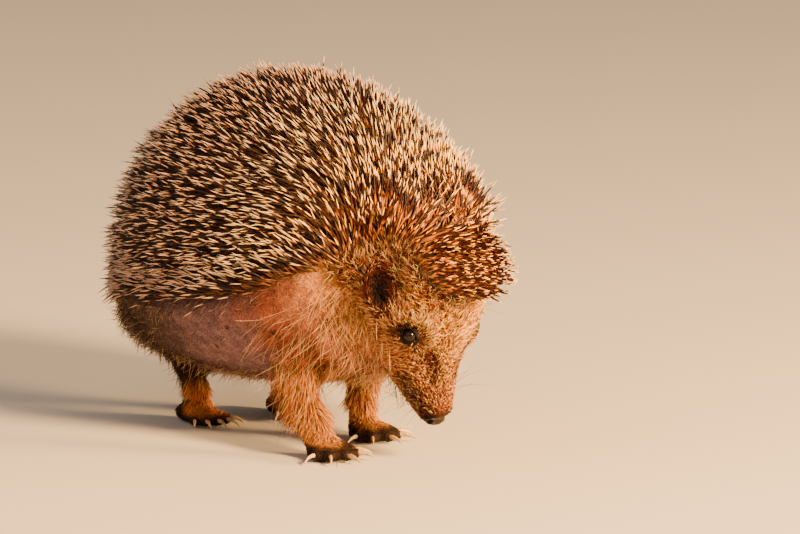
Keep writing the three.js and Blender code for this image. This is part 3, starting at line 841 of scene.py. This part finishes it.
# They stand closer round the ears and along the flank's lower edge.
quilled = (over_edge(hide_middles) > wobble(hide_middles, 9, 7) * 1.6) & ~on_ear
roots = sown(quilled * QUILLS_SOWN, 11)
crowded = rise(np.linalg.norm(nearest_ear(roots.places), axis=1), 52, 20)
low_row = rise(over_edge(roots.places), 9, 1) * (1 - rise(roots.places[:, 1], -60, -80))
roots = spaced(roots, QUILL_SPACING * (1 - 0.2 * np.maximum(crowded * 0.6, low_row)), 12)
low_row = rise(over_edge(roots.places), 13, 3) * (1 - rise(roots.places[:, 1], -60, -80))
rng = np.random.default_rng(13)
count = len(roots)

# Each is as long as its room under the outline asks for, shorter at the brow and beside an ear, and is lifted until
# its tip meets the outline, or stands a little over it at the brow.
room = np.clip(-over_outline(roots.places), 0, QUILL_DEPTH)
from_ear = np.linalg.norm(nearest_ear(roots.places), axis=1)
ahead = rise(roots.places[:, 1], BACK_ENDS - 12, BROW_STARTS + 8)  # 1 at the brow
fringe = ahead * rise(over_edge(roots.places), 14, 3)  # 1 along the brow's lower edge
shortest = 15 - 3 * ahead
longest = QUILL_LENGTH - 1.5 * ahead - 3 * rise(from_ear, 26, 10)
lengths = np.clip(room / math.sin(QUILL_LIFT), shortest, longest) * rng.normal(1, 0.09, count)
flow = quill_flow(roots.places)
least = math.radians(9) + ahead * math.radians(6) - low_row * math.radians(4)
most = QUILL_STEEPEST - math.radians(36) * rise(from_ear, 34, 17)
lift = lifted_to_outline(roots, flow, lengths, QUILL_LIFT, least, most, 1.5 + 1.0 * ahead + 1.5 * fringe)
leans = leaning(flow, roots.normals, lift + rng.normal(size=count) * 0.13, QUILL_STRAY, 14)

# No two have the same tint. They are golden at the brow and rosy over the back, and darker and cooler at the rump,
# which is painted shade.
tints_and_shade = linear(QUILL_TINT) * rng.uniform(0.54, 0.96, (count, 1))
tints_and_shade *= 1 + 0.36 * rise(roots.places[:, 1:2], -45, -75)
for start, end, code in QUILL_TINTS_AND_SHADE:
    tints_and_shade *= 1 + rise(roots.places[:, 1:2], start, end) * (linear(code) - 1)
tints_and_shade *= 1 + low_row[:, None] * (linear(LOW_ROW_TINT) - 1)

bend = -roots.normals * rng.uniform(0, 0.08, (count, 1)) + rng.normal(size=(count, 3)) * 0.02
radii = QUILL_RADIUS * rng.uniform(0.85, 1.12, count) * (1 + 0.12 * ahead)
brow_row = ahead * rise(over_edge(roots.places), 32, 10)  # the brow's quills show more of their dark band
shift = rng.normal(size=count) * 0.03 + low_row * 0.12 - brow_row * 0.07


def through_ear(share):
    """Which quills would cross an ear's room at a share of their length."""
    return nearest(roots.places + leans * lengths[:, None] * share, ears, EAR_CLEARING) < 1


clear = ~(through_ear(0.0) | through_ear(0.4) | through_ear(0.7) | through_ear(1.0))
grow(
    "quills", roots.kept(clear), leans[clear], lengths[clear], radii[clear], QUILL_SHAPE, QUILL_SIDES, bend[clear],
    tints_and_shade[clear], quill, shift[clear],
)

# ---- The fur ----
# Coarse hair clothes all that the quills leave bare: short and grizzled on the face, long and pale in the ruff
# of cheeks and throat, sparse on the flanks where the pink skin shows, and thick and orange on the legs.

FUR_SHAPE = [(0.0, 0.9), (0.5, 1.0)]
LOCK_SHAPE = [(0.0, 0.8), (0.35, 1.0), (0.72, 0.65)]
LONG_SHAPE = [(0.0, 1.0), (0.3, 0.9), (0.6, 0.7), (0.85, 0.4)]
NOSE_BARE = 4.9  # radius of what stays bare round the nose

# Guard hair: soft and dull, with painted shade darkening it towards its root, and its full, paler colour at the tip.
hair = new_material("guard hair")
along_hair = node(hair, "Attribute", {"attribute_name": "along"}).outputs["Fac"]
hair_marking_light_and_shade = node(hair, "Attribute", {"attribute_name": "marking_light_and_shade"}).outputs["Color"]
painted_root_shade = node(hair, "ValToRGB", None, [(0.0, "505050"), (1.0, "FFFFFF"), (0.5, "C4C4C4")], Fac=along_hair)
hair_colour = node(hair, "Mix", MULTIPLY, _0=1.0, _6=hair_marking_light_and_shade, _7=painted_root_shade.outputs["Color"])
hair_shader = node(
    hair, "BsdfPrincipled", Base_Color=hair_colour.outputs[2], Roughness=0.6, Specular_IOR_Level=0.25,
)
node(hair, "OutputMaterial", Surface=hair_shader.outputs["BSDF"])

PALE_HAIR = "FFDE98"
PALENESS = 0.65  # how near a pale hair comes to that
DARK_HAIR = [0.36, 0.19, 0.15]  # what a dark hair keeps of its place's red, green and blue
BRIGHTEST = 0.92


def grizzled(places, ear, bright, dark, pale, seed):
    """Each tuft's colour: its place's marking with its painted light and shade, and a share of the tufts dark and a
    share of them pale.
    """
    rng = np.random.default_rng(seed)
    plain = markings_light_and_shade(places, ear)
    lit = plain.mean(1, keepdims=True) > 0.06  # dark marks keep their hair dark
    colours = plain * bright * rng.uniform(0.65, 1.3, (len(places), 1))
    kind = (rng.random(len(places)) + wobble(places, 2.6, seed) * 0.14)[:, None]
    colours = np.where(kind < dark, plain * DARK_HAIR, colours)
    colours = np.where((kind > 1 - pale) & lit, colours + (linear(PALE_HAIR) - colours) * PALENESS, colours)
    return colours / np.maximum(colours.max(1, keepdims=True) / BRIGHTEST, 1)


def fur(name, density, flow, length, radius, shades, seed, lift=0.4, stray=0.35, shape=FUR_SHAPE, droop=0.12):
    """Hair over part of the hide. Its flow and length may be worked out from its roots. Its shades are how bright it
    is beside the marking under it, and the shares of it that are dark and pale."""
    roots = sown(density, seed)
    count = len(roots)
    rng = np.random.default_rng(seed + 1)
    flow, length = [value(roots) if callable(value) else value for value in (flow, length)]
    flow = np.broadcast_to(np.asarray(flow, float), (count, 3))
    lengths = length * rng.normal(1, 0.22, count).clip(0.4, 1.7)
    leans = leaning(flow, roots.normals, lift + rng.normal(size=count) * 0.15, stray, seed + 2)
    bend = -roots.normals * droop + np.array([0, 0, -0.06]) + rng.normal(size=(count, 3)) * 0.07
    radii = radius * rng.uniform(0.75, 1.2, count)
    seen = roots.places + leans * lengths[:, None] * 0.55 - roots.normals * 0.8
    colours = grizzled(seen, roots.ear, *shades, seed + 3)
    grow(name, roots, leans, lengths, radii, shape, 3, bend, colours, hair)


along, right, front = in_head(hide_middles)
side = np.abs(right)
height, back = hide_middles[:, 2], hide_middles[:, 1]
edge = over_edge(hide_middles)
in_ear = nearest(hide_middles, ears, EAR_HOLLOW)
furred = (edge < 4) & ~on_ear & (height > 1) & (in_ear > 1.05)
from_eyes = nearest(hide_middles, eyes)
open_eyes = from_eyes > 3.45
off_nose = nearest(hide_middles, [at_head(2.6, 0, 0)]) > NOSE_BARE
face = face_share(hide_middles) * furred * open_eyes * off_nose
legs = leg_share(hide_middles)
paws = furred * rise(height, 9.5, 7)
body = furred * (1 - face_share(hide_middles)) * (1 - legs) * (1 - paws)


def face_flow(roots):
    """Back from the muzzle to the brow, down over the cheeks, and away from the eyes."""
    along, right, front = in_head(roots.places)
    cheek = rise(front, 6, -10)[:, None] * rise(along, 12, 30)[:, None]
    flow = head_up * (1 - 0.45 * cheek) - head_front * 0.8 * cheek + head_right * np.sign(right)[:, None] * 0.2
    for eye in eyes:
        away = roots.places - eye
        flow = flow + unit(away) * 1.6 * rise(np.linalg.norm(away, axis=1), 12, 4)[:, None]
    return flow


def face_length(roots):
    along, right, front = in_head(roots.places)
    length = 1.5 + 3.2 * rise(along, 8, 45) + 2.0 * rise(along, 26, 36) * rise(front - np.abs(right) * 0.5, 6, 11)
    return length * (0.4 + 0.6 * rise(nearest(roots.places, eyes), 3.4, 7.5))


fur(
    "face_fur", face * thick_fur(hide_middles) * (3.4 - 1.2 * rise(along, 25, 50)), face_flow, face_length,
    radius=0.17, shades=(1.35, 0.36, 0.2), seed=21, lift=0.55, stray=0.55,
)
crown = furred * rise(back, -62, -70) * rise(back, -98, -90) * rise(edge, -14, -8) * open_eyes
fur(
    "crown_fur", crown * 1.5, head_up + head_front * 0.3, length=6.0,
    radius=0.14, shades=(1.5, 0.3, 0.25), seed=25, lift=0.6, stray=0.7, shape=LOCK_SHAPE,
)
ruff = furred * rise(back, -54, -60) * open_eyes * (rise(front, 2, -8) * rise(along, 28, 40) + rise(front, -12, -20))
# The ruff's hair is made far brighter and paler than the marking under it: painted light on the neck, which the head
# shades.
fur(
    "ruff", np.clip(ruff, 0, 1) * off_nose * rise(edge, -2, -12) * 0.4, (0, 0.45, -0.9), length=11,
    radius=0.14, shades=(2.4, 0.12, 0.6), seed=31, lift=0.55, stray=0.85, shape=LOCK_SHAPE,
)
flank = 0.08 + 0.6 * rise(height, 34, 25) + 0.4 * rise(edge, -9, -2) + 0.5 * rise(back, 0, 50)
flank += 0.3 * rise(back, -50, -62)
fur(
    "flank_fur", body * flank, (0, 0.8, -0.6), length=5.0,
    radius=0.08, shades=(1.4, 0.16, 0.16), seed=41, lift=0.3, stray=0.6, shape=LOCK_SHAPE,
)
rump = body * rise(back, 34, 54) * rise(edge, -8, -14)
fur(
    "rump_fur", rump * 0.8, (0, 0.8, -0.5), length=8.0,
    radius=0.1, shades=(1.5, 0.3, 0.12), seed=43, lift=0.62, stray=0.6, shape=LOCK_SHAPE,
)
shoulder = body * rise(back, -30, -40) * rise(back, -74, -66) * rise(edge, -8, -14)
fur(
    "shoulder_hair", shoulder * 0.12, (0, 0.8, -0.6), length=16.0,
    radius=0.12, shades=(1.7, 0.0, 0.7), seed=45, lift=0.42, stray=0.35, shape=LONG_SHAPE, droop=0.25,
)
fringe = np.clip(body * rise(height, 36, 30) + legs * rise(height, 14, 22) * furred * 0.6, 0, 1)
fur(
    "belly_fringe", fringe * 0.09, (0, 0.55, -0.8), length=11.0,
    radius=0.1, shades=(1.6, 0.0, 0.7), seed=47, lift=0.5, stray=0.4, shape=LONG_SHAPE, droop=0.2,
)


def leg_length(roots):
    return 2.4 + 5.6 * rise(roots.places[:, 2], 9, 22)


def leg_flow(roots):
    """Down the leg, and a little outward and back."""
    return np.sign(roots.places[:, :1]) * [0.16, 0, 0] + [0, 0.22, -1.0]


fur(
    "leg_fur", furred * legs * (1 - paws) * 2.9, leg_flow, leg_length,
    radius=0.13, shades=(1.5, 0.26, 0.22), seed=51, lift=0.34, stray=0.2, shape=LOCK_SHAPE, droop=0.06,
)
fur(
    "paw_down", paws * 1.8 * (height > 2), (0, -0.7, -1.0), length=1.5,
    radius=0.09, shades=(1.4, 0.2, 0.05), seed=61, lift=0.25,
)
fur(
    "ear_down", on_ear * (1.5 + 1.8 * rise(in_ear, 0.75, 1.0)), head_up, length=3.8,
    radius=0.1, shades=(1.9, 0.35, 0.2), seed=71, lift=0.6, stray=0.6,
)


def round_ears(roots):
    """Towards the ear, up and out over its rim."""
    return -unit(nearest_ear(roots.places)) * 0.5 + head_up


fur(
    "ear_fringe", furred * rise(in_ear, 1.9, 1.4) * 1.1, round_ears, length=7.5,
    radius=0.13, shades=(1.5, 0.34, 0.25), seed=75, lift=0.7, stray=0.6, shape=LOCK_SHAPE,
)

# ---- The whiskers ----
# Stiff bristles, some dark and some pale, stand out from the muzzle's sides, the chin, the bridge and the brow. They
# are straighter than the fur that they grow among, and most are longer.

BRISTLE_RADIUS = 0.08


def bristles(name, density, flow, length, code, seed, lift=0.8):
    roots = sown(density, seed)
    rng = np.random.default_rng(seed + 1)
    flow = flow(roots) if callable(flow) else np.tile(flow, (len(roots), 1))
    leans = leaning(flow, roots.normals, lift + rng.normal(size=len(roots)) * 0.2, 0.35, seed + 2)
    bend = np.array([0, 0, -0.22]) + rng.normal(size=(len(roots), 3)) * 0.12
    colours = np.tile(linear(code), (len(roots), 1)) * rng.uniform(0.6, 1.0, (len(roots), 1))
    lengths = length * rng.uniform(0.6, 1.1, len(roots))
    grow(name, roots, leans, lengths, BRISTLE_RADIUS, LONG_SHAPE, 3, bend, colours, hair)


def sideways(roots):
    return head_up * 0.3 - head_front * 0.2 + head_right * np.sign(in_head(roots.places)[1])[:, None] * 0.5


snout = face * (side > 4) * (along > 6) * (along < 19) * (np.abs(front) < 6)
bristles("whiskers", snout * 0.055, sideways, length=20, code="4A3020", seed=81)
chin = face * (front < -6) * (along > 6) * (along < 34)
bristles("chin_bristles", chin * 0.09, -head_front - head_up * 0.1, length=12, code="E8C898", seed=85)
bridge = face * (front > 6) * (along > 14) * (along < 46) * rise(side, 16, 9) * rise(from_eyes, 6.5, 8)
bristles(
    "bridge_bristles", bridge * 0.5, head_up * 0.8 + head_front * 0.3, length=5.5, code="F8CC88", seed=91, lift=0.55,
)
eye_brow = face * (front > 10) * rise(from_eyes, 4.5, 6) * rise(from_eyes, 10, 8)
bristles("eye_brows", eye_brow * 2.2, head_front + head_up * 0.4, length=4.5, code="FFC87C", seed=95, lift=0.7)
brow = face * (np.abs(along - 46) < 5) * (side < 22) * (front > 8)
bristles("brow_bristles", brow * 0.09, head_up * 0.6 + head_front, length=17, code="E0BC8C", seed=88)

# ---- The eyes ----
# Two round dark eyes, about six millimetres across, lie between rolled dark lids. Their wet cornea is clear and
# mirrors the lights.


def rounded(start, rings, end):
    """A closed shape's points and triangles: one end, rings of points after it, and the other end."""
    count, around = rings.shape[:2]
    points = np.concatenate([[start], rings.reshape(-1, 3), [end]])
    last = len(points) - 1
    triangles = []
    for k in range(around):
        n = (k + 1) % around
        triangles += [(0, 1 + n, 1 + k), (last, last - around + k, last - around + n)]
        for r in range(count - 1):
            a, b = 1 + r * around + k, 1 + r * around + n
            triangles += [(a, b, b + around), (a, b + around, a + around)]
    return points, np.array(triangles)


# Cornea over a dark iris: near black with brown flecks in it, and as smooth as water.
IRIS_FLECK = 0.7  # mm
cornea = new_material("wet cornea")
iris_place = node(cornea, "TexCoord").outputs["Object"]
iris_fleck = node(cornea, "TexNoise", Vector=iris_place, Scale=1 / (IRIS_FLECK * MM), Detail=2.0)
iris_tone = node(cornea, "ValToRGB", None, [(0.42, "060302"), (0.66, "180B06")], Fac=iris_fleck.outputs["Fac"])
cornea_shader = node(cornea, "BsdfPrincipled", Base_Color=iris_tone.outputs["Color"], Roughness=0.04, IOR=1.38)
node(cornea, "OutputMaterial", Surface=cornea_shader.outputs["BSDF"])
EYE_STEPS = 40
for name, eye, outward in zip(("eye_right", "eye_left"), eyes, eye_outward):
    across = unit(np.cross(outward, [0.3, 0.5, 0.8]))  # any way square to the eye's own
    upward = np.cross(outward, across)
    polar = np.linspace(0, math.pi, EYE_STEPS // 2)[1:-1, None, None]
    turn = turns(EYE_STEPS)[:, None]
    ball = (across * np.cos(turn) + upward * np.sin(turn)) * np.sin(polar) - outward * np.cos(polar)
    shape = rounded(eye - outward * EYE_RADIUS, eye + ball * EYE_RADIUS, eye + outward * EYE_RADIUS)
    piece = new_piece(name + "_ball", new_shape(name, *shape))
    piece.data.materials.append(cornea)
    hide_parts(name)

# ---- The nose ----
# The nose is bare black-brown leather at the muzzle's end, moist and finely pebbled, parted by a groove, with a
# comma-shaped nostril on either side.

NOSE_SIZE = [4.2, 3.6, 3.1]  # across, out of the bridge, along
NOSE_STEPS = 120
NOSE_ROWS = 80
NOSTRIL_WAY = (0.88, 0.02, -0.42)
NOSTRIL_WIDTH = 0.3  # share of the nose's size
NOSTRIL_DEPTH = 0.34


def nose_point(x, y, z):
    """A place on the nose for a direction from its middle: across, out of the bridge, along."""
    reach = 1.0
    for side in (1, -1):
        way = unit(np.array([NOSTRIL_WAY[0] * side, NOSTRIL_WAY[1], NOSTRIL_WAY[2]]))
        off = np.array([x, y, z]) - way
        near = math.hypot(off[0], off[1] * 0.8, off[2] * 1.25)
        slit = math.hypot(off[0], off[1] * 0.45 - 0.16, off[2] * 2.2 - 0.1)
        reach += 0.09 * math.exp(-(((near - 0.42) / 0.16) ** 2))
        reach -= NOSTRIL_DEPTH * math.exp(-((near / NOSTRIL_WIDTH) ** 4))
        reach -= 0.16 * math.exp(-((slit / 0.22) ** 4))
    reach -= 0.08 * math.exp(-((x / 0.09) ** 2)) * max(0.0, 0.6 - z)
    x, y, z = np.array([x, y, z]) * NOSE_SIZE * reach
    return nose_middle + head_right * x + head_front * y + head_up * z


nose_middle = middle("nose")
rings = [
    [nose_point(-math.cos(polar), math.sin(polar) * math.cos(turn), math.sin(polar) * math.sin(turn))
     for turn in turns(NOSE_STEPS)]
    for polar in np.arange(1, NOSE_ROWS) * math.pi / NOSE_ROWS
]
nose_shape = rounded(nose_point(-1, 0, 0), np.array(rings), nose_point(1, 0, 0))
nose = new_piece("nose_leather", new_shape("nose", *nose_shape))
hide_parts("nose")

# Nose leather: pebbled hide kept wet, so that each pebble has its own small light.
PEBBLE = 0.42  # mm
LEATHER_PATCH = 2.2  # mm
leather = new_material("moist nose leather")
leather_place = node(leather, "TexCoord").outputs["Object"]
pebbles = node(leather, "TexVoronoi", {"feature": "SMOOTH_F1"}, Vector=leather_place, Scale=1 / (PEBBLE * MM))
leather_relief = node(
    leather, "Bump", {"invert": True}, Strength=0.5, Distance=0.12 * MM, Height=pebbles.outputs["Distance"],
)
leather_tone = node(leather, "TexNoise", Vector=leather_place, Scale=1 / (LEATHER_PATCH * MM), Detail=2.0)
leather_colour = node(leather, "ValToRGB", None, [(0.35, "0C0403"), (0.7, "24100A")], Fac=leather_tone.outputs["Fac"])
leather_shader = node(
    leather, "BsdfPrincipled", Base_Color=leather_colour.outputs["Color"], Roughness=0.5,
    Normal=leather_relief.outputs["Normal"], Specular_IOR_Level=0.3, Coat_Weight=0.1, Coat_Roughness=0.25,
)
node(leather, "OutputMaterial", Surface=leather_shader.outputs["BSDF"])
nose.data.materials.append(leather)

# ---- The claws ----
# Five claws of pale horn grow from each paw. Each is a hard sheath round the end of its toe, curved downward and
# tapered to a blunt point.

CLAW_STEPS = 12
CLAW_RINGS = 14
CLAW_RADIUS = 0.85
CLAW_TIP_RADIUS = 0.05
CLAW_WIDTH = 0.8  # share of its height
CLAW_ARCH = 1.9
HORN_STREAK = 0.9  # mm

# Horn: translucent-looking and pale, with a low waxy shine and fine streaks from brown to pale.
horn = new_material("claw horn")
horn_place = node(horn, "TexCoord").outputs["Object"]
streaks = node(horn, "TexNoise", Vector=horn_place, Scale=1 / (HORN_STREAK * MM), Detail=2.0, Roughness=0.5)
horn_tone = node(horn, "ValToRGB", None, [(0.3, "8A6848"), (0.68, "CFAE84")], Fac=streaks.outputs["Fac"])
horn_shader = node(horn, "BsdfPrincipled", Base_Color=horn_tone.outputs["Color"], Roughness=0.36)
node(horn, "OutputMaterial", Surface=horn_shader.outputs["BSDF"])


def claw(points, paw_middle):
    """A curved claw through the room of a solid one."""
    away = np.hypot(*(points - paw_middle)[:, :2].T)
    root, tip = points[away < away.min() + 0.9].mean(0), points[away.argmax()]
    knee = (root + tip) / 2 + UP * CLAW_ARCH
    ahead = unit((tip - root) * [1, 1, 0])
    sideways = np.cross(ahead, UP)
    turn = turns(CLAW_STEPS)[:, None]
    rings = []
    for share in np.linspace(0, 1, CLAW_RINGS):
        place = root * (1 - share) ** 2 + knee * 2 * share * (1 - share) + tip * share**2
        run = unit((knee - root) * (1 - share) + (tip - knee) * share)
        radius = CLAW_RADIUS * (1 - share**1.6) ** 0.8 + CLAW_TIP_RADIUS
        ring = sideways * np.cos(turn) * CLAW_WIDTH + np.cross(run, sideways) * np.sin(turn)
        rings.append(place + ring * radius)
    return rounded(root, np.array(rings), tip)


for paw in PAWS:
    names = [f"{paw}_claw_{i}" for i in range(1, 6)]
    points, triangles = together([claw(solid(name)[0], middle(paw)) for name in names])
    claws = new_piece(paw + "_claws", new_shape(paw, points, triangles))
    claws.data.materials.append(horn)
    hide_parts(*names)

# ---- The floor, the lights and the camera ----
# The animal stands on a plain pale floor. Two warm soft lights stand low to the camera's right, a weak one and a
# pale room fill the shadows, and the camera looks from the right and just above.

FLOOR_HALF = 4.0  # m
floor_mesh = bpy.data.meshes.new("floor")
floor_corners = [(-1, -1), (1, -1), (1, 1), (-1, 1)]
floor_mesh.from_pydata([(x * FLOOR_HALF, y * FLOOR_HALF, 0) for x, y in floor_corners], [], [(0, 1, 2, 3)])
floor = placed("floor", floor_mesh)
paint = new_material("matt floor paint")
paint_shader = node(paint, "BsdfPrincipled", Base_Color=(*linear("D9CFC4"), 1), Roughness=0.9)
node(paint, "OutputMaterial", Surface=paint_shader.outputs["BSDF"])
floor_mesh.materials.append(paint)

CAMERA_AZIMUTH = math.radians(-35)
CAMERA_RISE = math.radians(9)
CAMERA_AWAY = 3.0  # m
CAMERA_TARGET = Vector((0.0376, -0.0057, 0.0655))
IMAGE_WIDTH = 0.32  # m at the target
SENSOR = 36.0
ROOM_LIGHT = 0.5
to_camera = Vector((
    math.sin(CAMERA_AZIMUTH) * math.cos(CAMERA_RISE), -math.cos(CAMERA_AZIMUTH) * math.cos(CAMERA_RISE),
    math.sin(CAMERA_RISE),
))
camera = placed("camera", bpy.data.cameras.new("camera"))
camera.location = CAMERA_TARGET + to_camera * CAMERA_AWAY
camera.rotation_euler = to_camera.to_track_quat("Z", "Y").to_euler()
camera.data.sensor_width = SENSOR
camera.data.lens = SENSOR * CAMERA_AWAY / IMAGE_WIDTH
bpy.context.scene.camera = camera


def lamp(name, right, up, ahead, distance, size, power, code):
    """A soft square light, placed as seen from the camera. Distance and size are in metres, and power is in watts."""
    upright = Vector((0, 0, 1))
    across = upright.cross(to_camera).normalized()
    way = (across * right + upright * up + to_camera * ahead).normalized()
    light = placed(name, bpy.data.lights.new(name, "AREA"))
    light.data.size, light.data.energy = size, power
    light.data.color = linear(code)
    light.location = CAMERA_TARGET + way * distance
    light.rotation_euler = way.to_track_quat("Z", "Y").to_euler()


lamp("key", 0.6, 0.36, 0.8, distance=1.8, size=0.4, power=158, code="FFCC88")
lamp("side", 0.94, 0.1, 0.34, distance=1.8, size=0.36, power=140, code="FFCC80")
lamp("fill", -0.6, 0.5, 0.8, distance=2.4, size=2.2, power=14, code="FFE8D4")

world = bpy.data.worlds.new("pale room")
bpy.context.scene.world = world
world.use_nodes = True
room = world.node_tree.nodes["Background"]
room.inputs["Color"].default_value = (*linear("D8CEC4"), 1)
room.inputs["Strength"].default_value = ROOM_LIGHT
